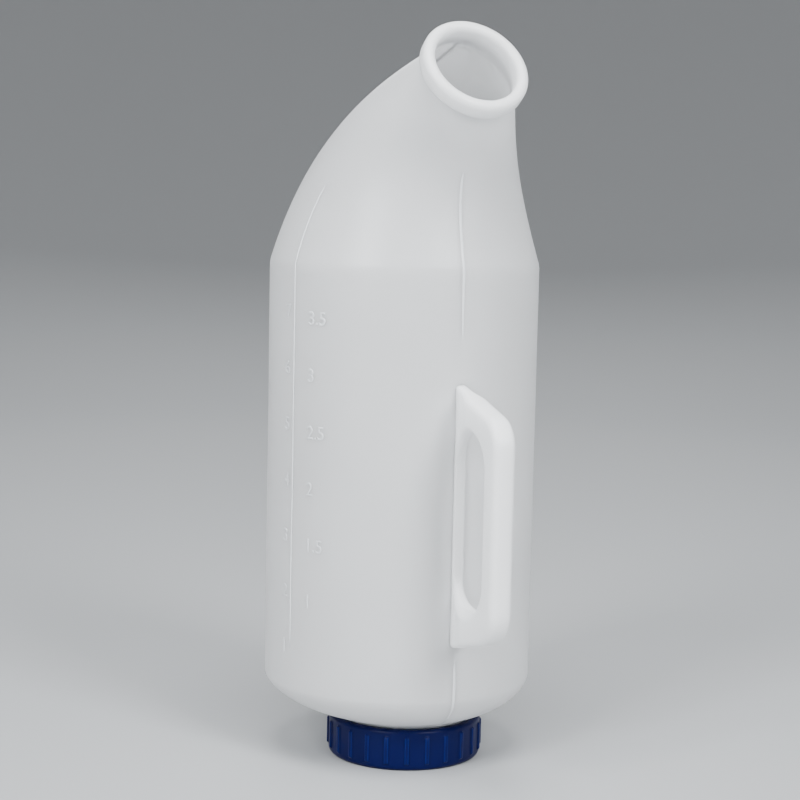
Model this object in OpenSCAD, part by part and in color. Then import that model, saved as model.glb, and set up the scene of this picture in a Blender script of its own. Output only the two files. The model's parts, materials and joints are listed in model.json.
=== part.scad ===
// Calf feeding bottle: a bent-spout bottle with a side handle, standing on its ribbed filler cap.
// Millimetres. Origin at the centre of the cap's flat underside. +Z is up, +X runs towards the
// handle and the mouth, and the whole bottle is symmetric about the XZ plane.

/* [Bottle body] */
// Outside diameter of the cylindrical wall
body_d = 146; // [120:1:170]
// Thickness of the moulded wall
wall = 1.6; // [1.2:0.1:2.4]
// Height of the crease where the cylindrical wall ends and the shoulder starts
shoulder_z = 267; // [230:1:300]
// Height of the crease where the cylindrical wall ends and the domed base starts
base_z = 43; // [38:1:60]
// Roundness of the base: 1 is a straight cone, 2 is an elliptical dome
base_roundness = 1.7; // [1.2:0.1:2.4]
// How far the filler neck sits off the body's axis, towards the handle
neck_offset = 12; // [0:1:20]

/* [Spout] */
// Distance from the body's axis to the centre of the mouth
mouth_reach = 79.8; // [70:0.2:90]
// Height of the centre of the mouth
mouth_z = 367.4; // [350:0.2:380]
// Angle of the mouth's axis above the horizontal
mouth_tilt = 36; // [25:1:45]
// Diameter of the mouth's bore
mouth_bore_d = 44; // [38:0.5:48]
// Thickness of the round bead about the mouth
bead_d = 6.4; // [5:0.2:8]
// Length of the bead along the mouth's axis
bead_l = 10.4; // [8:0.2:12]
// Length of the straight collar behind the bead
collar_l = 7; // [5:0.5:9]
// How far the spout rises straight up before it bends towards the mouth
rise = 73; // [65:1:80]
// How straight the spout runs into the mouth's collar
lead = 15; // [12:1:25]
// How quickly the shoulder narrows: higher values narrow it sooner
narrowing = 1.3; // [1.2:0.05:1.4]
// How late the spout turns: higher values keep the turn close to the mouth
turning = 1.55; // [1.5:0.05:1.7]

/* [Filler neck] */
// Outside diameter of the collar that covers the top of the cap
collar_d = 76; // [75:0.2:79]
// Outside diameter of the neck's thread
thread_d = 70.4; // [68:0.2:72]
// Outside diameter of the neck between its threads
neck_d = 66.8; // [66:0.2:67.4]
// Bore of the neck
neck_bore_d = 63; // [60:0.5:63.5]
// Height of the collar that shows above the cap
collar_h = 2.2; // [1.5:0.1:2.4]
// Distance from one turn of the thread to the next
pitch = 6; // [6:0.1:6.6]

/* [Cap] */
// Outside diameter of the cap without its ribs
cap_d = 82.8; // [81:0.2:86]
// Height of the cap
cap_h = 22; // [21:0.5:23]
// Thickness of the cap's floor
cap_floor = 2.5; // [2:0.1:3]
// Inside diameter of the cap's skirt
skirt_bore_d = 74.8; // [74:0.2:76]
// Radius of the rounded edge round the cap's underside
cap_edge_r = 2.5; // [1.5:0.1:3]
// Radius of the rounded edge round the top of the skirt
cap_rim_r = 2; // [1:0.1:2.4]
// Number of grip ribs
rib_count = 24; // [12:2:36]
// Width of one grip rib
rib_w = 2.4; // [1.6:0.1:3]
// Thickness of the sealing washer
washer_t = 1.5; // [1:0.1:1.5]

/* [Handle] */
// Height of the handle's underside at the wall
handle_z = 71; // [65:1:80]
// Length of the handle along the wall
handle_l = 138; // [125:1:145]
// How far the grip stands out from the wall
handle_reach = 50.8; // [44:0.2:55]
// Depth of the grip, from its outer face to the finger gap
grip_depth = 13.4; // [11:0.2:15]
// Width of the grip
grip_w = 13; // [10:0.2:14]
// Radius of the rounded edges of the grip's outer face
grip_edge_r = 3.5; // [2:0.1:4.5]
// Height of the lowest point of the finger gap
gap_low_z = 93.5; // [90:0.5:98]
// Height of the highest point of the finger gap
gap_high_z = 186; // [180:0.5:188]
// Width of the strip that joins the handle to the wall
strip_w = 6.2; // [5:0.2:8]
// Thickness of that strip
strip_t = 1.6; // [1.2:0.1:2.4]
// Slope of the upper arm, down towards the grip
arm_slope = 16; // [10:1:22]
// Radius of the corner between the upper arm and the grip
arm_corner_r = 16; // [10:1:20]
// Slope of the lower arm's underside, up towards the grip
foot_slope = 15; // [5:0.5:18]
// Radius of the corner between the lower arm and the grip
foot_corner_r = 19; // [12:1:22]
// How far out from the strip the arms reach the grip's full width
flare_l = 18; // [12:1:24]

/* [Volume scale] */
// Direction of the scale's upright line, measured from the handle
scale_azimuth = -75.5; // [-90:0.5:-60]
// Width of the raised lines
mark_w = 0.8; // [0.6:0.1:1.2]
// How far the lines stand out of the wall
mark_t = 0.5; // [0.3:0.1:0.8]
// Height of the middle of the lowest litre numeral
mark_z = 91; // [80:1:100]
// Distance between one numeral and the next
mark_step = 29.6; // [25:0.1:29.6]
// Height of a numeral
numeral_h = 7; // [5:0.5:8]
// Width of a numeral
numeral_w = 4; // [3:0.2:5]
// Distance from the line to the litre numerals on its right
litre_gap = 10.8; // [8:0.2:13]
// Distance from the line to the pint numerals on its left
pint_gap = 3; // [2:0.5:5]

/* [Hidden] */
$fn = 96;

milky = [0.88, 0.89, 0.90];
blue = [0.02, 0.08, 0.33];
foam = [0.93, 0.93, 0.90];

// How deep the bore cuts into the bead's round section
bore_cut = 0.2;
// Gap between the top of the cap and the collar above it
collar_clear = 0.3;
// Plain bands of the cap below and above its ribs, and how far the ribs stand out
rib_low_band = 1;
rib_high_band = 1.5;
rib_proud = 1;
// Gaps at the edges of the washer, and how far it reaches inside the neck's bore
washer_clear = 0.5;
washer_lap = 1.5;
// How many steps the pint numerals start below the litre numerals
pint_start = 1.9;
// Plain wall below and above the scale's upright line
line_low_band = 17;
line_high_band = 3;

body_r = body_d / 2;
mouth_r = mouth_bore_d / 2;
collar_top = cap_h + collar_clear + collar_h;

// The lofted skins: points round one ring, and rings along the shoulder and the base
ring_points = 72;
shoulder_rings = 9;
spout_start = 0.45;
base_rings = 10;

// Thread ridges: how far the root is sunk in its wall, root and crest widths, steps in one turn
thread_sink = 0.2;
thread_root_w = 3;
thread_crest_w = 1.4;
thread_steps = 36;
thread_runout = 6;
neck_turns = 2;
cap_turns = 1.5;
cap_thread_r = 34;

lip_z = cap_floor + washer_t;
neck_thread_z = lip_z + 2.5;
strip_x = body_r + strip_t;
handle_x = body_r + handle_reach;

// A cubic curve through the plane of symmetry
function bezier(a, b, c, d, s) =
    pow(1 - s, 3) * a + 3 * pow(1 - s, 2) * s * b + 3 * (1 - s) * s * s * c + pow(s, 3) * d;

// One ring of points: centre [x, z], lean of its axis from the vertical, and radius
function ring(centre, lean, r) = [
    for (i = [0 : ring_points - 1])
        let (a = 360 * i / ring_points)
            [centre[0] + r * cos(a) * cos(lean), r * sin(a), centre[1] - r * cos(a) * sin(lean)]
];

function flatten(lists) = [for (list = lists) for (item = list) item];

// Closed skin between two stacks of rings, open along its middle
module skin(outer, inner) {
    n = len(outer);
    m = ring_points;
    last = n * m;
    walls = [
        for (k = [0 : n - 2]) for (i = [0 : m - 1])
            let (j = (i + 1) % m, a = k * m, b = (k + 1) * m)
                each [
                    [a + i, b + i, b + j], [a + i, b + j, a + j],
                    [last + a + i, last + b + j, last + b + i],
                    [last + a + i, last + a + j, last + b + j]
                ]
    ];
    ends = [
        for (i = [0 : m - 1])
            let (j = (i + 1) % m, e = (n - 1) * m)
                each [
                    [i, j, last + j], [i, last + j, last + i],
                    [e + i, last + e + j, e + j], [e + i, last + e + i, last + e + j]
                ]
    ];
    polyhedron(points = concat(flatten(outer), flatten(inner)), faces = concat(walls, ends));
}

// Axis, lean and radius of the shoulder, from 0 at the crease to 1 at the mouth's collar
mouth_axis = [cos(mouth_tilt), sin(mouth_tilt)];
collar_start = [mouth_reach, mouth_z] - collar_l * mouth_axis;
function shoulder_centre(s) =
    bezier([0, shoulder_z], [0, shoulder_z + rise], collar_start - lead * mouth_axis, collar_start, s);
function shoulder_lean(s) = (90 - mouth_tilt) * pow(s, turning);
function shoulder_r(s) = mouth_r + wall + (body_r - mouth_r - wall) * pow(1 - s, narrowing);

// Base section, from 0 at the wall to 90 at the neck: 1 at the wall and 0 at the neck, and back
function base_out(u) = pow(cos(u), 2 / base_roundness);
function base_down(u) = pow(sin(u), 2 / base_roundness);
function base_ring(u, r_wall, r_neck, z_neck) = ring(
    [neck_offset * (1 - base_out(u)), base_z - (base_z - z_neck) * base_down(u)],
    0,
    r_neck + (r_wall - r_neck) * base_out(u)
);

// Moves a piece from the cap's axis to the body's axis
module on_body() translate([-neck_offset, 0, 0]) children();

// Helical ridge, standing from root radius r_root to crest radius r_crest
module thread(r_root, r_crest, z, turns) {
    n = turns * thread_steps;
    points = [
        for (k = [0 : n])
            let (
                a = 360 * k / thread_steps,
                h = max(0.02, min(1, k / thread_runout, (n - k) / thread_runout)),
                r = r_root + (r_crest - r_root) * h,
                w = thread_root_w / 2 - (thread_root_w - thread_crest_w) / 2 * h,
                lift = z + pitch * a / 360
            )
                each [
                    [r_root * cos(a), r_root * sin(a), lift - thread_root_w / 2],
                    [r * cos(a), r * sin(a), lift - w],
                    [r * cos(a), r * sin(a), lift + w],
                    [r_root * cos(a), r_root * sin(a), lift + thread_root_w / 2]
                ]
    ];
    outward = r_crest > r_root;
    sides = [
        for (k = [0 : n - 1]) for (i = [0 : 3])
            let (j = (i + 1) % 4, a = 4 * k, b = 4 * k + 4)
                each (outward
                    ? [[a + i, b + i, b + j], [a + i, b + j, a + j]]
                    : [[a + i, b + j, b + i], [a + i, a + j, b + j]])
    ];
    e = 4 * n;
    ends = outward
        ? [[0, 1, 2, 3], [e + 3, e + 2, e + 1, e]]
        : [[3, 2, 1, 0], [e, e + 1, e + 2, e + 3]];
    polyhedron(points = points, faces = concat(sides, ends));
}

module bottle_wall() {
    color(milky)
        on_body()
            translate([0, 0, base_z])
                difference() {
                    cylinder(h = shoulder_z - base_z, r = body_r);
                    translate([0, 0, -1])
                        cylinder(h = shoulder_z - base_z + 2, r = body_r - wall);
                }
}

// Part of the bent skin, between two places along its axis
module bent_skin(from, to) {
    steps = [for (k = [0 : shoulder_rings]) from + (to - from) * k / shoulder_rings];
    color(milky)
        on_body()
            skin(
                [for (s = steps) ring(shoulder_centre(s), shoulder_lean(s), shoulder_r(s))],
                [for (s = steps) ring(shoulder_centre(s), shoulder_lean(s), shoulder_r(s) - wall)]
            );
}

module shoulder() bent_skin(0, spout_start);

module spout() bent_skin(spout_start, 1);

// Collar and bead, turned about the mouth's axis
module mouth_rim() {
    bead_r = bead_d / 2;
    bead_centre_r = mouth_r + bead_r - bore_cut;
    bead_span = bead_l - bead_d;
    color(milky)
        on_body()
            translate([mouth_reach, 0, mouth_z])
                rotate([0, 90 - mouth_tilt, 0])
                    rotate_extrude()
                        difference() {
                            union() {
                                translate([mouth_r, -collar_l]) square([wall, collar_l]);
                                translate([bead_centre_r, 0]) circle(r = bead_r);
                                translate([bead_centre_r, -bead_span]) circle(r = bead_r);
                                translate([mouth_r, -bead_span]) square([bead_d - bore_cut, bead_span]);
                            }
                            translate([0, -collar_l - 1]) square([mouth_r, collar_l + bead_d]);
                        }
}

module domed_base() {
    steps = [for (k = [0 : base_rings]) 90 * k / base_rings];
    neck_r = neck_bore_d / 2;
    outer = [for (u = steps) base_ring(u, body_r, collar_d / 2, collar_top)];
    inner = [for (u = steps) base_ring(u, body_r - wall, neck_r, collar_top + wall)];
    color(milky)
        on_body()
            skin(
                [for (k = [base_rings : -1 : 0]) outer[k]],
                concat(
                    [ring([neck_offset, collar_top], 0, neck_r)],
                    [for (k = [base_rings - 1 : -1 : 0]) inner[k]]
                )
            );
}

module filler_neck() {
    color(milky)
        rotate_extrude()
            difference() {
                union() {
                    translate([0, lip_z]) square([neck_d / 2, collar_top - lip_z]);
                    translate([0, collar_top - collar_h]) square([collar_d / 2, collar_h]);
                }
                translate([0, lip_z - 1]) square([neck_bore_d / 2, collar_top]);
            }
}

module neck_thread() {
    color(milky)
        thread(neck_d / 2 - thread_sink, thread_d / 2, neck_thread_z, neck_turns);
}

// Flat strip that lies along the wall, with a sloped top
module handle_strip() {
    top = handle_z + handle_l;
    color(milky)
        on_body()
            difference() {
                translate([0, strip_w / 2, 0])
                    rotate([90, 0, 0])
                        linear_extrude(strip_w)
                            polygon([
                                [body_r - 1, handle_z], [strip_x, handle_z],
                                [strip_x, top - strip_t], [body_r - 1, top + 1]
                            ]);
                cylinder(h = top + 10, r = body_r, $fn = 720);
            }
}

// Side view of the loop: sloped arms and an upright grip round a long finger gap
module loop_outline() {
    gap_r = (handle_reach - grip_depth - strip_t) / 2;
    gap_x = strip_x + gap_r;
    top = handle_z + handle_l - strip_t;
    arm_x = handle_x - arm_corner_r;
    arm_z = top - tan(arm_slope) * (arm_x - strip_x) - arm_corner_r / cos(arm_slope);
    foot_x = handle_x - foot_corner_r;
    foot_z = handle_z + tan(foot_slope) * (foot_x - strip_x) + foot_corner_r / cos(foot_slope);
    difference() {
        union() {
            polygon([
                [strip_x, handle_z],
                [foot_x + foot_corner_r * sin(foot_slope), foot_z - foot_corner_r * cos(foot_slope)],
                [foot_x, foot_z], [handle_x, foot_z], [handle_x, arm_z], [arm_x, arm_z],
                [arm_x + arm_corner_r * sin(arm_slope), arm_z + arm_corner_r * cos(arm_slope)],
                [strip_x, top]
            ]);
            translate([arm_x, arm_z]) circle(r = arm_corner_r);
            translate([foot_x, foot_z]) circle(r = foot_corner_r);
        }
        translate([gap_x, gap_low_z + gap_r]) circle(r = gap_r);
        translate([gap_x, gap_high_z - gap_r]) circle(r = gap_r);
        translate([strip_x, gap_low_z + gap_r]) square([2 * gap_r, gap_high_z - gap_low_z - 2 * gap_r]);
    }
}

// Plan view of the loop: narrow at the strip, full width at the grip, with rounded outer edges
module loop_plan() {
    flare_x = strip_x + flare_l;
    edge_x = handle_x - grip_edge_r;
    edge_y = grip_w / 2 - grip_edge_r;
    polygon([
        [strip_x, -strip_w / 2], [flare_x, -grip_w / 2], [edge_x, -grip_w / 2],
        [edge_x, grip_w / 2], [flare_x, grip_w / 2], [strip_x, strip_w / 2]
    ]);
    for (side = [-1, 1]) translate([edge_x, side * edge_y]) circle(r = grip_edge_r);
    translate([edge_x, -edge_y]) square([grip_edge_r, 2 * edge_y]);
}

module handle_grip() {
    color(milky)
        on_body()
            intersection() {
                translate([0, grip_w, 0])
                    rotate([90, 0, 0]) linear_extrude(2 * grip_w) loop_outline();
                translate([0, 0, handle_z - 1]) linear_extrude(handle_l + 2) loop_plan();
            }
}

function arc_degrees(length) = length / body_r * 180 / PI;

// Lays a flat drawing on the wall: X runs round the wall from the line, Y is the height
module raised(along) {
    on_body()
        intersection() {
            rotate([0, 0, scale_azimuth + arc_degrees(along)])
                translate([body_r - mark_t, 0, 0])
                    rotate([90, 0, 90]) linear_extrude(3 * mark_t) children();
            translate([0, 0, base_z])
                difference() {
                    cylinder(h = shoulder_z - base_z, r = body_r + mark_t, $fn = 720);
                    translate([0, 0, -1]) cylinder(h = shoulder_z - base_z + 2, r = body_r, $fn = 720);
                }
        }
}

module volume_line() {
    color(milky)
        raised(0)
            translate([-mark_w / 2, base_z + line_low_band])
                square([mark_w, shoulder_z - base_z - line_low_band - line_high_band]);
}

// One numeral of upright and level bars, a to g in the usual seven-bar order, on its own middle
module numeral(n) {
    bars = ["abcdef", "bc", "abged", "abgcd", "fgbc", "afgcd", "afgedc", "abc", "abcdefg"][n];
    half = numeral_h / 2;
    left = -numeral_w / 2;
    right = numeral_w / 2 - mark_w;
    for (name = bars) {
        if (name == "a") translate([left, half - mark_w]) square([numeral_w, mark_w]);
        if (name == "g") translate([left, -mark_w / 2]) square([numeral_w, mark_w]);
        if (name == "d") translate([left, -half]) square([numeral_w, mark_w]);
        if (name == "f") translate([left, 0]) square([mark_w, half]);
        if (name == "b") translate([right, 0]) square([mark_w, half]);
        if (name == "e") translate([left, -half]) square([mark_w, half]);
        if (name == "c") translate([right, -half]) square([mark_w, half]);
    }
}

// Litres in half-litre steps, to the right of the line
module litre_numerals() {
    first = litre_gap + numeral_w / 2;
    point = first + numeral_w / 2 + 1.5 * mark_w;
    second = point + numeral_w / 2 + 1.5 * mark_w;
    color(milky)
        for (k = [0 : 5]) {
            z = mark_z + k * mark_step;
            raised(first) translate([0, z]) numeral(1 + floor(k / 2));
            if (k % 2 == 1) {
                raised(point) translate([-mark_w / 2, z - numeral_h / 2]) square(mark_w);
                raised(second) translate([0, z]) numeral(5);
            }
        }
}

// Pints, to the left of the line
module pint_numerals() {
    color(milky)
        for (k = [1 : 7]) {
            z = mark_z + (k - pint_start) * mark_step;
            raised(-pint_gap - numeral_w / 2) translate([0, z]) numeral(k);
        }
}

module sealing_washer() {
    color(foam)
        translate([0, 0, cap_floor])
            difference() {
                cylinder(h = washer_t, r = skirt_bore_d / 2 - washer_clear);
                translate([0, 0, -1]) cylinder(h = washer_t + 2, r = neck_bore_d / 2 - washer_lap);
            }
}

module screw_cap() {
    cap_r = cap_d / 2;
    rib_low = cap_edge_r + rib_low_band;
    rib_high = cap_h - cap_rim_r - rib_high_band;
    color(blue) {
        rotate_extrude()
            difference() {
                union() {
                    square([cap_r - cap_edge_r, cap_h]);
                    translate([0, cap_edge_r]) square([cap_r, cap_h - cap_edge_r - cap_rim_r]);
                    translate([cap_r - cap_edge_r, cap_edge_r]) circle(r = cap_edge_r);
                    translate([0, cap_h / 2]) square([cap_r - cap_rim_r, cap_h / 2]);
                    translate([cap_r - cap_rim_r, cap_h - cap_rim_r]) circle(r = cap_rim_r);
                }
                translate([0, cap_floor]) square([skirt_bore_d / 2, cap_h]);
            }
        for (k = [0 : rib_count - 1])
            rotate([0, 0, 360 * (k + 0.5) / rib_count])
                translate([cap_r + rib_proud - rib_w / 2, 0, rib_low])
                    cylinder(h = rib_high - rib_low, d = rib_w, $fn = 24);
    }
}

module cap_thread() {
    color(blue)
        thread(skirt_bore_d / 2 + thread_sink, cap_thread_r, neck_thread_z + pitch / 2, cap_turns);
}

bottle_wall();
shoulder();
spout();
mouth_rim();
domed_base();
filler_neck();
neck_thread();
handle_strip();
handle_grip();
volume_line();
litre_numerals();
pint_numerals();
sealing_washer();
screw_cap();
cap_thread();
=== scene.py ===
"""Looks of the calf feeding bottle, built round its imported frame. Metres, in the frame's own axes."""
import json
import math

import bmesh
import bpy
from mathutils import Matrix, Vector, noise


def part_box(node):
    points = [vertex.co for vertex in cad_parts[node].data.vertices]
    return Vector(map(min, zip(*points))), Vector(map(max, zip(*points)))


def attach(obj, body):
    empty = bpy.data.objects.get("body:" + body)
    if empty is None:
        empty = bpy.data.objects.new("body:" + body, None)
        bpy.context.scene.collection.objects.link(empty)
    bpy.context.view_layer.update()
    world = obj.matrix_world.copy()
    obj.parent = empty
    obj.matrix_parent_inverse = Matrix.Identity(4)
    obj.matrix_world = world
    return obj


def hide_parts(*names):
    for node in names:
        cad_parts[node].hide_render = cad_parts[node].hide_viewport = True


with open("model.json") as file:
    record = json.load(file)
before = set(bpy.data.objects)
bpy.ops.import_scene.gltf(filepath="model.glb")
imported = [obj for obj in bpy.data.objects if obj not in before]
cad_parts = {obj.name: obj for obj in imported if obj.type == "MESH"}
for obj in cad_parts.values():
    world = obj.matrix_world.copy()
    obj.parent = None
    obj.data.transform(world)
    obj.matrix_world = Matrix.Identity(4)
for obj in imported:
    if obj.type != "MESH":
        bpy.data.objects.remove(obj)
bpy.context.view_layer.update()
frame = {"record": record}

MM = 0.001

# ---------------------------------------------------------------- sizes taken from the frame

mounts = {m["name"]: m for m in frame["record"]["mounts"]}
wall_low, wall_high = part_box("bottle_wall")
crease_low, crease_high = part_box("shoulder")
rim_low, rim_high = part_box("mouth_rim")
base_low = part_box("domed_base")[0]
neck_low, neck_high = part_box("filler_neck")
strip_low, strip_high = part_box("handle_strip")
loop_low, loop_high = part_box("handle_grip")
line_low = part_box("volume_line")[0]
washer_low, washer_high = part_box("sealing_washer")
cap_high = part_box("screw_cap")[1]

SKIN_INSET = 0.25 * MM  # keeps the wavering skin inside the solid it stands for
body_r = (crease_high.y - crease_low.y) / 2 - SKIN_INSET
axis_x = crease_low.x + body_r + SKIN_INSET
base_z, crease_z = wall_low.z, wall_high.z
mouth = Vector(mounts["teat_bead"]["pos_m"])
mouth_axis = Vector(mounts["mouth_bore"]["axis"])
bore_r = mounts["mouth_bore"]["dims"]["r_mm"] * MM
mouth_lean = math.pi / 2 - math.asin(mouth_axis.z)
bead_outer_r = (rim_high.y - rim_low.y) / 2
collar_z = base_low.z
collar_r = (neck_high.y - neck_low.y) / 2
lip_z = neck_low.z

# Shape of the moulding, in the same terms as the CAD model
WALL = 1.6 * MM
BEAD_R = 3.2 * MM
BEAD_LENGTH = 10.4 * MM
COLLAR_LENGTH = 7 * MM
RISE = 73 * MM
LEAD = 15 * MM
NARROWING = 1.3
TURNING = 1.55
BASE_ROUNDNESS = 1.7
NECK_R = 33.4 * MM
NECK_BORE_R = 31.5 * MM
COLLAR_HEIGHT = 2.2 * MM
PITCH = 6 * MM
NECK_CREST_R = 35.2 * MM
CAP_CREST_R = 34 * MM
SCALE_AZIMUTH = math.radians(-75.5)

# ---------------------------------------------------------------- mesh helpers


def new_piece(name, verts, faces, material, smooth=True):
    """A mesh object made from plain lists of points and faces."""
    mesh = bpy.data.meshes.new(name)
    mesh.from_pydata([tuple(v) for v in verts], [], faces)
    mesh.validate()
    bm = bmesh.new()
    bm.from_mesh(mesh)
    bmesh.ops.recalc_face_normals(bm, faces=bm.faces)
    bm.to_mesh(mesh)
    bm.free()
    for polygon in mesh.polygons:
        polygon.use_smooth = smooth
    mesh.materials.append(material)
    piece = bpy.data.objects.new(name, mesh)
    bpy.context.scene.collection.objects.link(piece)
    return piece


def grid_faces(rows, columns, close_rows, close_columns):
    """Quads between neighbouring rows of points, joined round where asked."""
    faces = []
    for i in range(rows if close_rows else rows - 1):
        for j in range(columns if close_columns else columns - 1):
            a, b = i * columns, (i + 1) % rows * columns
            k = (j + 1) % columns
            faces.append((a + j, b + j, b + k, a + k))
    return faces


def loft(name, rows, material, close_rows=False, close_columns=True, caps=False):
    """Skin through rows of points that all have the same length."""
    columns = len(rows[0])
    verts = [point for row in rows for point in row]
    faces = grid_faces(len(rows), columns, close_rows, close_columns)
    if caps:
        last = (len(rows) - 1) * columns
        faces.append(tuple(range(columns)))
        faces.append(tuple(last + j for j in range(columns)))
    return new_piece(name, verts, faces, material)


def dress(piece, body, slot, *nodes):
    """Rides a piece on its body and hides the CAD nodes it stands for; the slot argument is not used."""
    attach(piece, body)
    if nodes:
        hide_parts(*nodes)
    return piece


def smoothstep(x):
    x = min(1.0, max(0.0, x))
    return x * x * (3 - 2 * x)


# ---------------------------------------------------------------- materials


class Nodes:
    """Small builder for one material's node tree."""

    def __init__(self, name):
        self.material = bpy.data.materials.new(name)
        self.material.use_nodes = True
        self.tree = self.material.node_tree
        self.shader = self.tree.nodes["Principled BSDF"]
        self.place = self.add("ShaderNodeTexCoord").outputs["Object"]

    def add(self, kind, **settings):
        node = self.tree.nodes.new(kind)
        for key, value in settings.items():
            setattr(node, key, value)
        return node

    def link(self, source, target):
        self.tree.links.new(source, target)

    def stretched(self, scale):
        mapping = self.add("ShaderNodeMapping")
        mapping.inputs["Scale"].default_value = scale
        self.link(self.place, mapping.inputs["Vector"])
        return mapping.outputs["Vector"]

    def noise(self, scale, detail=3.0, roughness=0.5, vector=None):
        node = self.add("ShaderNodeTexNoise")
        node.inputs["Scale"].default_value = scale
        node.inputs["Detail"].default_value = detail
        node.inputs["Roughness"].default_value = roughness
        self.link(vector or self.place, node.inputs["Vector"])
        return node.outputs["Fac"]

    def remap(self, value, low, high, start=0.3, end=0.7):
        node = self.add("ShaderNodeMapRange")
        node.inputs["From Min"].default_value = start
        node.inputs["From Max"].default_value = end
        node.inputs["To Min"].default_value = low
        node.inputs["To Max"].default_value = high
        self.link(value, node.inputs["Value"])
        return node.outputs["Result"]

    def tint(self, value, dark, light):
        node = self.add("ShaderNodeMix", data_type="RGBA")
        node.inputs["A"].default_value = (*dark, 1)
        node.inputs["B"].default_value = (*light, 1)
        self.link(value, node.inputs["Factor"])
        return node.outputs["Result"]

    def bump(self, height, distance, strength, below=None):
        node = self.add("ShaderNodeBump")
        node.inputs["Distance"].default_value = distance
        node.inputs["Strength"].default_value = strength
        self.link(height, node.inputs["Height"])
        if below:
            self.link(below, node.inputs["Normal"])
        return node.outputs["Normal"]

    def finish(self, colour, roughness, normal, **constants):
        self.link(colour, self.shader.inputs["Base Color"])
        self.link(roughness, self.shader.inputs["Roughness"])
        self.link(normal, self.shader.inputs["Normal"])
        for key, value in constants.items():
            self.shader.inputs[key.replace("_", " ")].default_value = value
        return self.material


def milky_polyethylene(name, dark, light):
    """Translucent blow-moulded polyethylene: cloudy thickness, faint die lines, a fine grain."""
    n = Nodes(name)
    clouds = n.noise(14, 2)
    die_lines = n.noise(1, 2, 0.6, n.stretched((230, 230, 3.5)))
    grain = n.noise(900, 2)
    scuffs = n.noise(1, 3, 0.7, n.stretched((60, 60, 340)))
    colour = n.tint(n.remap(clouds, 0, 1), dark, light)
    roughness = n.remap(scuffs, 0.36, 0.44)
    normal = n.bump(clouds, 0.6 * MM, 0.25)
    normal = n.bump(die_lines, 0.05 * MM, 0.35, normal)
    normal = n.bump(grain, 0.02 * MM, 0.3, normal)
    return n.finish(
        colour, roughness, normal,
        IOR=1.5, Subsurface_Weight=1.0, Subsurface_Radius=(1.0, 1.0, 1.0), Subsurface_Scale=8 * MM,
    )


def raised_polyethylene():
    """The same polyethylene on the thin raised marks, drawn without scattering, which would darken them."""
    n = Nodes("milky_polyethylene_raised")
    clouds = n.noise(14, 2)
    grain = n.noise(900, 2)
    colour = n.tint(n.remap(clouds, 0, 1), (0.75, 0.76, 0.775), (0.79, 0.8, 0.815))
    return n.finish(colour, n.remap(clouds, 0.38, 0.44), n.bump(grain, 0.02 * MM, 0.3), IOR=1.5)


def blue_polypropylene():
    """Glossy dark blue injection moulding with a satin grain; its edges are painted a lighter blue, partly
    as rubbed wear and partly as a painted highlight.
    """
    n = Nodes("blue_polypropylene")
    clouds = n.noise(40, 2)
    grain = n.noise(1400, 2)
    edge = n.add("ShaderNodeNewGeometry").outputs["Pointiness"]
    colour = n.tint(n.remap(clouds, 0, 1), (0.0003, 0.0018, 0.038), (0.0005, 0.0026, 0.05))
    # Edges found by pointiness are painted a lighter blue: partly rubbed wear, partly a painted highlight
    # standing in for the reflection along the rims.
    edge_wear_and_highlight = n.add("ShaderNodeMix", data_type="RGBA")
    edge_wear_and_highlight.inputs["B"].default_value = (0.003, 0.024, 0.22, 1)
    n.link(n.remap(edge, 0, 0.6, 0.52, 0.6), edge_wear_and_highlight.inputs["Factor"])
    n.link(colour, edge_wear_and_highlight.inputs["A"])
    normal = n.bump(grain, 0.02 * MM, 0.35)
    return n.finish(
        edge_wear_and_highlight.outputs["Result"], n.remap(clouds, 0.3, 0.4), normal,
        IOR=1.49, Specular_IOR_Level=0.13,
    )


def washer_foam():
    """Closed-cell white foam."""
    n = Nodes("washer_foam")
    cells = n.noise(1600, 4, 0.7)
    colour = n.tint(n.remap(cells, 0, 1), (0.66, 0.66, 0.62), (0.8, 0.8, 0.77))
    return n.finish(colour, n.remap(cells, 0.75, 0.9), n.bump(cells, 0.08 * MM, 0.6))


shell_material = milky_polyethylene("milky_polyethylene", (0.925, 0.938, 0.952), (0.94, 0.952, 0.965))
raised_material = raised_polyethylene()
handle_material = milky_polyethylene(
    "milky_polyethylene_handle", (0.93, 0.942, 0.955), (0.945, 0.956, 0.967)
)
blue_material = blue_polypropylene()
foam_material = washer_foam()

# ---------------------------------------------------------------- shell of the bottle


class Ring:
    """A circle about an axis that leans in the XZ plane."""

    def __init__(self, x, z, lean, r, waver=0.0):
        self.centre = Vector((x, 0, z))
        self.across = Vector((math.cos(lean), 0, -math.sin(lean)))
        self.r = r
        self.waver = waver

    def point(self, angle):
        outward = self.across * math.cos(angle) + Vector((0, math.sin(angle), 0))
        plain = self.centre + outward * self.r
        return plain + outward * (self.waver * noise.noise(plain * WAVER_SCALE))


WAVER = 0.16 * MM
WAVER_SCALE = 24.0
SHOULDER_STEPS = 64
SPOUT_END = 0.992
BORE_START = 0.93
BASE_STEPS = 26
WALL_STEP = 6 * MM
CREASE_ROUNDING = 1.3 * MM
SHELL_COLUMNS = 256


def bezier(points, s):
    a, b, c, d = points
    t = 1 - s
    return a * t ** 3 + b * (3 * t * t * s) + c * (3 * t * s * s) + d * s ** 3


def shoulder_ring(s, inset, waver):
    start = mouth - mouth_axis * COLLAR_LENGTH
    crease = Vector((axis_x, 0, crease_z))
    centre = bezier([crease, crease + Vector((0, 0, RISE)), start - mouth_axis * LEAD, start], s)
    collar = bore_r + WALL
    r = collar + (body_r - collar) * (1 - s) ** NARROWING
    return Ring(centre.x, centre.z, mouth_lean * s ** TURNING, r - inset, waver)


def mouth_ring(along, r):
    centre = mouth + mouth_axis * along
    return Ring(centre.x, centre.z, mouth_lean, r)


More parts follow.
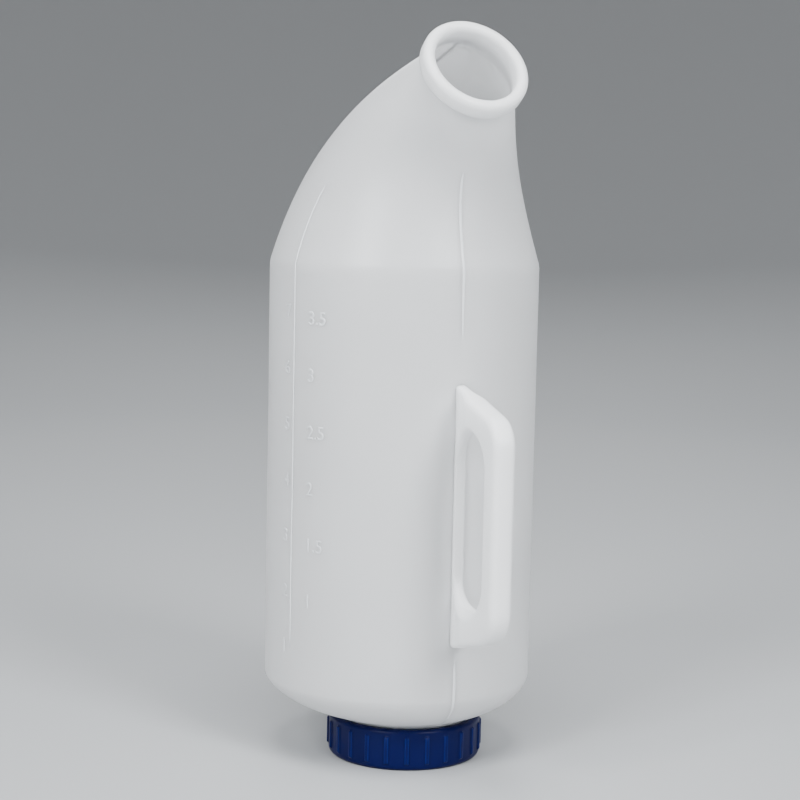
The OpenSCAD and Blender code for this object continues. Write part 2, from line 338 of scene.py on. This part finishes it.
def base_ring(u, r_wall, r_neck, z_neck, waver):
    out = math.cos(u) ** (2 / BASE_ROUNDNESS) if u < math.pi / 2 else 0.0
    down = math.sin(u) ** (2 / BASE_ROUNDNESS) if u > 0 else 0.0
    z = base_z - (base_z - z_neck) * down
    return Ring(axis_x * out, z, 0, r_neck + (r_wall - r_neck) * out, waver)


def shoulder_rings(inset, waver, last=SPOUT_END):
    """From the mouth's collar down to just above the crease."""
    first = CREASE_ROUNDING / (3 * RISE)
    steps = [first + (last - first) * k / SHOULDER_STEPS for k in range(SHOULDER_STEPS, -1, -1)]
    return [shoulder_ring(s, inset, waver * smoothstep((1 - s) * 5)) for s in steps]


def wall_rings(inset, waver):
    high, low = crease_z - CREASE_ROUNDING, base_z + CREASE_ROUNDING
    count = round((high - low) / WALL_STEP)
    heights = [high + (low - high) * k / count for k in range(count + 1)]
    return [Ring(axis_x, z, 0, body_r - inset, waver) for z in heights]


def base_rings(r_wall, r_neck, z_neck, waver):
    first = 0.04
    steps = [first + (math.pi / 2 - first) * k / BASE_STEPS for k in range(BASE_STEPS + 1)]
    return [base_ring(u, r_wall, r_neck, z_neck, waver * math.cos(u)) for u in steps]


def bead_rings():
    """From the bore, over the thick round bead, to its back where the collar starts."""
    centre_r = bead_outer_r - BEAD_R
    start = math.acos((bore_r + 0.15 * MM - centre_r) / BEAD_R)
    end = -math.radians(112)
    span = BEAD_LENGTH - 2 * BEAD_R
    steps = 18
    front = [start * (1 - k / steps) for k in range(steps + 1)]
    back = [end * k / steps for k in range(steps + 1)]
    rings = [mouth_ring(BEAD_R * math.sin(a), centre_r + BEAD_R * math.cos(a)) for a in front]
    rings += [mouth_ring(-span * k / 4, centre_r + BEAD_R) for k in range(1, 4)]
    rings += [mouth_ring(BEAD_R * math.sin(a) - span, centre_r + BEAD_R * math.cos(a)) for a in back]
    return rings


def outer_rings():
    return (
        bead_rings() + shoulder_rings(0, WAVER) + wall_rings(0, WAVER)
        + base_rings(body_r, collar_r, collar_z, WAVER)
    )


def neck_rings():
    """Collar above the cap, neck, rounded lip and bore."""
    collar_low = collar_z - COLLAR_HEIGHT
    round_r = 0.5 * MM
    rows = [
        (collar_r, collar_z - 0.3 * MM), (collar_r, collar_low + 0.3 * MM),
        (collar_r - 0.3 * MM, collar_low), (NECK_R + 0.3 * MM, collar_low),
        (NECK_R, collar_low - 0.3 * MM),
        (NECK_R, lip_z + round_r), (NECK_R - 0.15 * MM, lip_z + 0.15 * MM), (NECK_R - round_r, lip_z),
        (NECK_BORE_R + round_r, lip_z), (NECK_BORE_R + 0.15 * MM, lip_z + 0.15 * MM),
        (NECK_BORE_R, lip_z + round_r), (NECK_BORE_R, collar_z),
    ]
    return [Ring(0, z, 0, r) for r, z in rows]


def build_shell():
    inner = base_rings(body_r - WALL, NECK_BORE_R, collar_z + WALL, 0)[::-1]
    inner += wall_rings(WALL, 0)[::-1] + shoulder_rings(WALL, 0, BORE_START)[::-1]
    inner += [mouth_ring(-k * MM, bore_r) for k in (4, 3, 2, 1, 0)]
    rings = outer_rings() + neck_rings() + inner
    angles = [2 * math.pi * k / SHELL_COLUMNS for k in range(SHELL_COLUMNS)]
    rows = [[ring.point(a) for a in angles] for ring in rings]
    return loft("bottle_shell", rows, shell_material, close_rows=True)


shell = build_shell()
dress(
    shell, "bottle", "milky_polyethylene",
    "bottle_wall", "shoulder", "spout", "mouth_rim", "domed_base", "filler_neck",
)

# ---------------------------------------------------------------- raised lines on the shell


def surface_frame(rings, k, angle):
    """Point of the shell on ring k, with its outward normal and the direction round the ring."""
    step = 0.002
    here = rings[k].point(angle)
    round_way = (rings[k].point(angle + step) - rings[k].point(angle - step)).normalized()
    up_way = rings[max(k - 1, 0)].point(angle) - rings[min(k + 1, len(rings) - 1)].point(angle)
    return here, round_way.cross(up_way).normalized(), round_way


def ridge(name, rings, angle, width, height, material, fade=2):
    """Low rounded ridge along the shell, sunk at its edges and faded out at its ends."""
    offsets = [-1, -0.9, -0.75, -0.5, -0.2, 0.2, 0.5, 0.75, 0.9, 1]
    sink = 0.06 * MM
    rows = []
    for k in range(len(rings)):
        here, normal, round_way = surface_frame(rings, k, angle)
        end = smoothstep(min(k, len(rings) - 1 - k) / fade)
        rows.append([
            here + round_way * (w * width / 2) + normal * ((height + sink) * (1 - w * w) * end - sink)
            for w in offsets
        ])
    return loft(name, rows, material, close_columns=False)


PARTING_WIDTH = 2.0 * MM
PARTING_HEIGHT = 0.1 * MM
PARTING_TOP = 0.32
LINE_WIDTH = 0.9 * MM
LINE_HEIGHT = 0.38 * MM
LINE_TOP = 0.245

skin = outer_rings()
outer_skin = skin[len(bead_rings()):]
above_handle = [r for r in outer_skin if r.point(0).z < PARTING_TOP and r.centre.z > strip_high.z]
below_handle = [r for r in outer_skin if r.centre.z < strip_low.z]
pieces = [
    ridge("parting_line_front", above_handle, 0, PARTING_WIDTH, PARTING_HEIGHT, raised_material, 8),
    ridge("parting_line_under_handle", below_handle, 0, PARTING_WIDTH, PARTING_HEIGHT, raised_material),
    ridge("parting_line_back", outer_skin, math.pi, PARTING_WIDTH, PARTING_HEIGHT, raised_material),
]
for piece in pieces:
    dress(piece, "bottle", "milky_polyethylene")

line_steps = 12
line_rings = [shoulder_ring(LINE_TOP * k / line_steps, 0, WAVER) for k in range(line_steps, 0, -1)]
line_rings += [r for r in wall_rings(0, WAVER) if r.centre.z > line_low.z]
volume_line = ridge(
    "volume_line_raised", line_rings, SCALE_AZIMUTH, LINE_WIDTH, LINE_HEIGHT, raised_material
)
dress(volume_line, "bottle", "milky_polyethylene", "volume_line")

# ---------------------------------------------------------------- numerals of the volume scale

NUMERAL_HEIGHT = 7 * MM
LITRE_GAP = 10.8 * MM
PINT_GAP = 3 * MM
NUMERAL_RAISE = 0.24 * MM
NUMERAL_ROUND = 0.14 * MM
MARK_Z = 91 * MM
MARK_STEP = 29.6 * MM


def flat_numeral(label, align):
    """Mesh of one label lying in XY, standing on z = 0, with rounded raised strokes."""
    curve = bpy.data.curves.new("numeral", "FONT")
    curve.body = label
    curve.size = NUMERAL_HEIGHT / 0.7
    curve.align_x = align
    curve.align_y = "CENTER"
    curve.resolution_u = 6
    curve.extrude = NUMERAL_RAISE / 2
    curve.bevel_depth = NUMERAL_ROUND
    curve.bevel_resolution = 2
    curve.offset = -NUMERAL_ROUND / 2
    holder = bpy.data.objects.new("numeral", curve)
    bpy.context.scene.collection.objects.link(holder)
    bpy.context.view_layer.update()
    mesh = bpy.data.meshes.new_from_object(holder.evaluated_get(bpy.context.evaluated_depsgraph_get()))
    bpy.data.objects.remove(holder)
    return mesh


def wall_numerals(name, labels, along, align, first_z, node):
    """Labels laid on the wall, one above the other, as one mesh."""
    bm = bmesh.new()
    for k, label in enumerate(labels):
        flat = flat_numeral(label, align)
        for vertex in flat.vertices:
            angle = SCALE_AZIMUTH + (along + vertex.co.x) / body_r
            ring = Ring(axis_x, first_z + k * MARK_STEP + vertex.co.y, 0, body_r, WAVER)
            outward = Vector((math.cos(angle), math.sin(angle), 0))
            vertex.co = ring.point(angle) + outward * vertex.co.z
        bm.from_mesh(flat)
        bpy.data.meshes.remove(flat)
    mesh = bpy.data.meshes.new(name)
    bmesh.ops.remove_doubles(bm, verts=bm.verts, dist=0.005 * MM)
    bm.to_mesh(mesh)
    bm.free()
    for polygon in mesh.polygons:
        polygon.use_smooth = False
    mesh.materials.clear()
    mesh.materials.append(raised_material)
    piece = bpy.data.objects.new(name, mesh)
    bpy.context.scene.collection.objects.link(piece)
    return dress(piece, "bottle", "milky_polyethylene", node)


litres = ["1", "1.5", "2", "2.5", "3", "3.5"]
pints = ["1", "2", "3", "4", "5", "6", "7"]
wall_numerals("litre_numerals_raised", litres, LITRE_GAP, "LEFT", MARK_Z, "litre_numerals")
wall_numerals(
    "pint_numerals_raised", pints, -PINT_GAP, "RIGHT", MARK_Z - 0.9 * MARK_STEP, "pint_numerals"
)

# ---------------------------------------------------------------- handle

STRIP_HALF = 3.1 * MM
NECKED_HALF = 2.8 * MM
GRIP_HALF = 6.5 * MM
GRIP_DEPTH = 13.4 * MM
FLARE = 18 * MM
ARM_SLOPE = math.radians(16)
ARM_CORNER_R = 16 * MM
FOOT_SLOPE = math.radians(15)
FOOT_CORNER_R = 19 * MM
GAP_LOW = 93.5 * MM
GAP_HIGH = 186 * MM
EDGE_R = 3.5 * MM
CREASE_OUT = 17 * MM
CREASE_STEP = 0.3 * MM

wall_x = axis_x + body_r
strip_x = strip_high.x
grip_x = loop_high.x
handle_low = loop_low.z
arm_top = strip_high.z - (strip_x - wall_x)
gap_r = (grip_x - GRIP_DEPTH - strip_x) / 2
gap_x = strip_x + gap_r
gap_high = GAP_HIGH - gap_r
gap_low = GAP_LOW + gap_r
arm_x = grip_x - ARM_CORNER_R
arm_z = arm_top - math.tan(ARM_SLOPE) * (arm_x - strip_x) - ARM_CORNER_R / math.cos(ARM_SLOPE)
foot_x = grip_x - FOOT_CORNER_R
foot_z = handle_low + math.tan(FOOT_SLOPE) * (foot_x - strip_x) + FOOT_CORNER_R / math.cos(FOOT_SLOPE)


def inside_loop(x, z):
    """Whether a point of the XZ plane is inside the handle's outer outline."""
    if not (wall_x - 0.9 * MM <= x <= grip_x and z >= handle_low):
        return False
    if z > arm_top - math.tan(ARM_SLOPE) * (x - strip_x):
        return False
    if z < handle_low + math.tan(FOOT_SLOPE) * (x - strip_x):
        return False
    beyond_arm = x - arm_x > (z - arm_z) * math.tan(ARM_SLOPE)
    if z > arm_z and beyond_arm and math.hypot(x - arm_x, z - arm_z) > ARM_CORNER_R:
        return False
    beyond_foot = x - foot_x > (foot_z - z) * math.tan(FOOT_SLOPE)
    return not (z < foot_z and beyond_foot and math.hypot(x - foot_x, z - foot_z) > FOOT_CORNER_R)


def outline_hit(x, z, angle):
    """Where a ray from inside the finger gap leaves the handle."""
    near, far = 0.0, 200 * MM
    for _ in range(40):
        middle = (near + far) / 2
        if inside_loop(x + middle * math.cos(angle), z + middle * math.sin(angle)):
            near = middle
        else:
            far = middle
    return Vector((x + near * math.cos(angle), 0, z + near * math.sin(angle)))


def handle_half(x):
    """Half of the handle's width at a distance from the body's axis."""
    if x < strip_x:
        return STRIP_HALF
    neck_in = smoothstep((x - strip_x) / (0.8 * MM))
    crease = smoothstep((x - strip_x - CREASE_OUT) / (0.9 * MM))
    flare = (GRIP_HALF - NECKED_HALF) * smoothstep((x - strip_x) / FLARE)
    return STRIP_HALF + (NECKED_HALF - STRIP_HALF) * neck_in + flare - CREASE_STEP * crease


def handle_rays():
    """Start point and direction of each station round the finger gap."""
    tip = math.atan2(arm_top + 1.2 * MM - gap_high, wall_x - 0.9 * MM - gap_x)
    foot = math.atan2(handle_low - gap_low, wall_x - 0.9 * MM - gap_x)
    rays = []
    ends = 44
    beside = 0.004
    half_turn = [math.pi * k / ends for k in range(ends + 1)]
    upper = sorted(half_turn + [tip + beside, tip - beside], reverse=True)
    lower = sorted([-a for a in half_turn] + [foot + beside, foot - beside], reverse=True)
    sides = 16
    rays += [(gap_high, a) for a in upper]
    rays += [(gap_high + (gap_low - gap_high) * k / sides, 0.0) for k in range(1, sides)]
    rays += [(gap_low, a) for a in lower]
    rays += [(gap_low + (gap_high - gap_low) * k / sides, math.pi) for k in range(1, sides)]
    return rays


def handle_section(inner, outer):
    """Rounded rectangle from the finger gap's edge to the outer edge, round both flanks."""
    length = (outer - inner).length
    along = (outer - inner) / length
    corner_steps, flank_steps = 7, 9
    outline = []
    for end in (0, 1):
        half = handle_half((inner if end == 0 else outer).x)
        r = min(EDGE_R, half * 0.8, length * 0.42)
        arc = []
        for k in range(corner_steps + 1):
            a = math.pi / 2 * k / corner_steps
            arc.append((r - r * math.cos(a), -half + r - r * math.sin(a)) if end == 0 else
                       (length - r + r * math.sin(a), -half + r - r * math.cos(a)))
        outline.append(arc)
    start, stop = outline[0][-1][0], outline[1][0][0]
    flank = [start + (stop - start) * (k + 1) / (flank_steps + 1) for k in range(flank_steps)]
    lower = outline[0] + [(d, None) for d in flank] + outline[1]
    points = []
    for d, y in lower:
        x = (inner + along * d).x
        points.append((d, -handle_half(x) if y is None else y))
    mirrored = [(d, -y) for d, y in reversed(points)]
    return [inner + along * d + Vector((0, y, 0)) for d, y in points + mirrored]


def build_handle():
    rows = []
    for z, angle in handle_rays():
        inner = Vector((gap_x + gap_r * math.cos(angle), 0, z + gap_r * math.sin(angle)))
        rows.append(handle_section(inner, outline_hit(gap_x, z, angle)))
    return loft("handle_moulding", rows, handle_material, close_rows=True)


dress(build_handle(), "bottle", "milky_polyethylene", "handle_strip", "handle_grip")

# ---------------------------------------------------------------- cap, washer and threads

CAP_R = 41.4 * MM
RIB_HEIGHT = 1.0 * MM
RIB_COUNT = 24
SKIRT_BORE_R = 37.4 * MM
CAP_FLOOR = 2.5 * MM
CAP_EDGE_R = 2.5 * MM
CAP_RIM_R = 2 * MM
RIB_OFFSETS = [-1.75, -1.45, -1.2, -0.95, -0.6, -0.2, 0.2, 0.6, 0.95, 1.2, 1.45, 1.75, 3.2, 5.4, 7.6]


def rib_shape(offset):
    """Height of the rib at a distance in millimetres from its middle, from 0 to 1."""
    return smoothstep((1.55 - abs(offset)) / 0.6) if abs(offset) < 1.55 else 0.0


def build_cap():
    top = cap_high.z
    rib_low, rib_high = CAP_EDGE_R + 1 * MM, top - CAP_RIM_R - 1.5 * MM
    rows = [(0.3 * MM, 0.25 * MM, 0), (2.4 * MM, 0.25 * MM, 0), (2.7 * MM, 0, 0)]
    for r in (12, 24, 33):
        rows += [((r - 0.35) * MM, 0, 0), (r * MM, 0.12 * MM, 0), ((r + 0.35) * MM, 0, 0)]
    quarter = [math.pi / 2 * k / 8 for k in range(9)]
    for a in quarter:
        rows.append((CAP_R - CAP_EDGE_R * (1 - math.sin(a)), CAP_EDGE_R * (1 - math.cos(a)), 0))
    rows += [
        (CAP_R, rib_low - 0.3 * MM, 0), (CAP_R, rib_low, 0.15), (CAP_R, rib_low + 0.4 * MM, 0.75),
        (CAP_R, rib_low + 0.9 * MM, 1), (CAP_R, (rib_low + rib_high) / 2, 1),
        (CAP_R, rib_high - 0.9 * MM, 1),
        (CAP_R, rib_high - 0.4 * MM, 0.75), (CAP_R, rib_high, 0.15), (CAP_R, rib_high + 0.3 * MM, 0),
    ]
    for a in quarter:
        rows.append((CAP_R - CAP_RIM_R * (1 - math.cos(a)), top - CAP_RIM_R * (1 - math.sin(a)), 0))
    rows += [
        (SKIRT_BORE_R + 0.6 * MM, top, 0), (SKIRT_BORE_R + 0.15 * MM, top - 0.2 * MM, 0),
        (SKIRT_BORE_R, top - 0.6 * MM, 0), (SKIRT_BORE_R, CAP_FLOOR + 1 * MM, 0),
        (SKIRT_BORE_R - 0.3 * MM, CAP_FLOOR + 0.3 * MM, 0), (SKIRT_BORE_R - 1 * MM, CAP_FLOOR, 0),
        (2 * MM, CAP_FLOOR, 0), (0.3 * MM, CAP_FLOOR, 0),
    ]
    columns = []
    for rib in range(RIB_COUNT):
        middle = 2 * math.pi * (rib + 0.5) / RIB_COUNT
        columns += [(middle + offset * MM / CAP_R, rib_shape(offset)) for offset in RIB_OFFSETS]
    grid = []
    for r, z, share in rows:
        ring = [(r + share * shape * RIB_HEIGHT, a) for a, shape in columns]
        grid.append([Vector((out * math.cos(a), out * math.sin(a), z)) for out, a in ring])
    return loft("ribbed_cap", grid, blue_material, caps=True)


def build_washer():
    inner, outer = NECK_BORE_R - 1.5 * MM, SKIRT_BORE_R - 0.5 * MM
    low, high, r = washer_low.z, washer_high.z, 0.25 * MM
    rows = [
        (inner, low + r), (inner + 0.07 * MM, low + 0.07 * MM), (inner + r, low), (outer - r, low),
        (outer - 0.07 * MM, low + 0.07 * MM), (outer, low + r), (outer, high - r),
        (outer - 0.07 * MM, high - 0.07 * MM), (outer - r, high), (inner + r, high),
        (inner + 0.07 * MM, high - 0.07 * MM), (inner, high - r),
    ]
    angles = [2 * math.pi * k / 144 for k in range(144)]
    grid = [[Ring(0, z, 0, r).point(a) for a in angles] for r, z in rows]
    return loft("washer_ring", grid, foam_material, close_rows=True)


THREAD_PROFILE = [(-1, 0), (-1, 0.85), (-0.75, 0.98), (0, 1), (0.75, 0.98), (1, 0.85), (1, 0)]


def build_thread(name, r_root, r_crest, low_z, turns, material):
    """Helical ridge with a rounded crest that fades out at both ends."""
    steps_a_turn, runout = 96, 16
    root_half, crest_half = 1.5 * MM, 0.7 * MM
    rows = []
    count = round(turns * steps_a_turn)
    for k in range(count + 1):
        a = 2 * math.pi * k / steps_a_turn
        fade = max(0.02, min(1.0, smoothstep(k / runout), smoothstep((count - k) / runout)))
        z = low_z + PITCH * a / (2 * math.pi)
        row = []
        for side, share in THREAD_PROFILE:
            r = r_root + (r_crest - r_root) * share * fade
            half = root_half + (crest_half - root_half) * min(1, share / 0.85) * fade
            row.append(Vector((r * math.cos(a), r * math.sin(a), z + side * half)))
        rows.append(row)
    return loft(name, rows, material, close_columns=True, caps=True)


dress(build_cap(), "cap", "blue_polypropylene", "screw_cap")
dress(build_washer(), "washer", "washer_foam", "sealing_washer")
neck_first = lip_z + 2.5 * MM
dress(
    build_thread("neck_thread_ridge", NECK_R - 0.2 * MM, NECK_CREST_R, neck_first, 2, shell_material),
    "bottle", "milky_polyethylene", "neck_thread",
)
dress(
    build_thread(
        "cap_thread_ridge", SKIRT_BORE_R + 0.2 * MM, CAP_CREST_R, neck_first + PITCH / 2, 1.5,
        blue_material,
    ),
    "cap", "blue_polypropylene", "cap_thread",
)

# ---------------------------------------------------------------- camera

CAMERA_AZIMUTH = math.radians(65.5)
CAMERA_DISTANCE = 1.0158
CAMERA_HEIGHT = 0.3025
CAMERA_PITCH = math.radians(6.2)
CAMERA_ROLL = math.radians(1.2)
CAMERA_LENS = 84.2
SENSOR = 36.0


def build_camera():
    camera_data = bpy.data.cameras.new("camera")
    camera_data.lens = CAMERA_LENS
    camera_data.sensor_width = SENSOR
    camera_data.clip_start = 0.01
    camera_data.clip_end = 50
    camera = bpy.data.objects.new("camera", camera_data)
    bpy.context.scene.collection.objects.link(camera)
    back = Vector((math.sin(CAMERA_AZIMUTH), -math.cos(CAMERA_AZIMUTH), 0))
    right = Vector((math.cos(CAMERA_AZIMUTH), math.sin(CAMERA_AZIMUTH), 0))
    place = Vector((axis_x, 0, CAMERA_HEIGHT)) + back * CAMERA_DISTANCE - right * 1 * MM
    turn = Matrix.Rotation(CAMERA_AZIMUTH, 4, "Z") @ Matrix.Rotation(math.pi / 2 - CAMERA_PITCH, 4, "X")
    camera.matrix_world = Matrix.Translation(place) @ turn @ Matrix.Rotation(CAMERA_ROLL, 4, "Z")
    bpy.context.scene.camera = camera


build_camera()

# ---------------------------------------------------------------- studio

STUDIO_R = 4.5
STUDIO_FLAT_R = 1.6
STUDIO_WALL_R = 2.6


def build_floor():
    """Plain pale floor that sweeps up into a wall all round."""
    n = Nodes("studio_floor")
    n.shader.inputs["Base Color"].default_value = (0.42, 0.425, 0.43, 1)
    n.shader.inputs["Roughness"].default_value = 0.7
    rows = [(0.02, 0), (STUDIO_FLAT_R, 0)]
    for k in range(1, 25):
        a = math.pi / 2 * k / 24
        rows.append((STUDIO_FLAT_R + STUDIO_WALL_R * math.sin(a), STUDIO_WALL_R * (1 - math.cos(a))))
    rows.append((STUDIO_FLAT_R + STUDIO_WALL_R, STUDIO_R))
    angles = [2 * math.pi * k / 96 for k in range(96)]
    grid = [[Vector((r * math.cos(a), r * math.sin(a), z)) for a in angles] for r, z in rows]
    columns = len(angles)
    verts = [point for row in grid for point in row]
    faces = grid_faces(len(grid), columns, False, True) + [tuple(range(columns))]
    floor = new_piece("studio_floor", verts, faces, n.material)


def area_light(name, place, target, size, power, colour):
    data = bpy.data.lights.new(name, "AREA")
    data.shape = "RECTANGLE"
    data.size, data.size_y = size
    data.energy = power
    data.color = colour
    light = bpy.data.objects.new(name, data)
    bpy.context.scene.collection.objects.link(light)
    light.location = place
    light.rotation_euler = (Vector(target) - Vector(place)).to_track_quat("-Z", "Y").to_euler()


def around(azimuth, distance, height):
    """Place at an azimuth from the camera's direction, positive to its right."""
    a = CAMERA_AZIMUTH + math.radians(azimuth)
    return (axis_x + distance * math.sin(a), -distance * math.cos(a), height)


COOL = (0.94, 0.97, 1.0)


def build_lights():
    target = (0, 0, 0.3)
    area_light("key_right", around(38, 1.5, 1.15), target, (0.5, 1.1), 38, COOL)
    area_light("fill_left", around(-35, 1.6, 1.15), target, (0.5, 1.1), 42, COOL)
    area_light("top_soft", around(0, 0.6, 2.0), target, (1.0, 1.0), 38, COOL)
    area_light("back_soft", around(180, 1.9, 1.3), target, (1.2, 1.0), 16, COOL)
    world = bpy.data.worlds.new("studio_world")
    bpy.context.scene.world = world
    world.use_nodes = True
    world.node_tree.nodes["Background"].inputs["Color"].default_value = (0.95, 0.97, 1.0, 1)
    world.node_tree.nodes["Background"].inputs["Strength"].default_value = 0.25


build_floor()
build_lights()
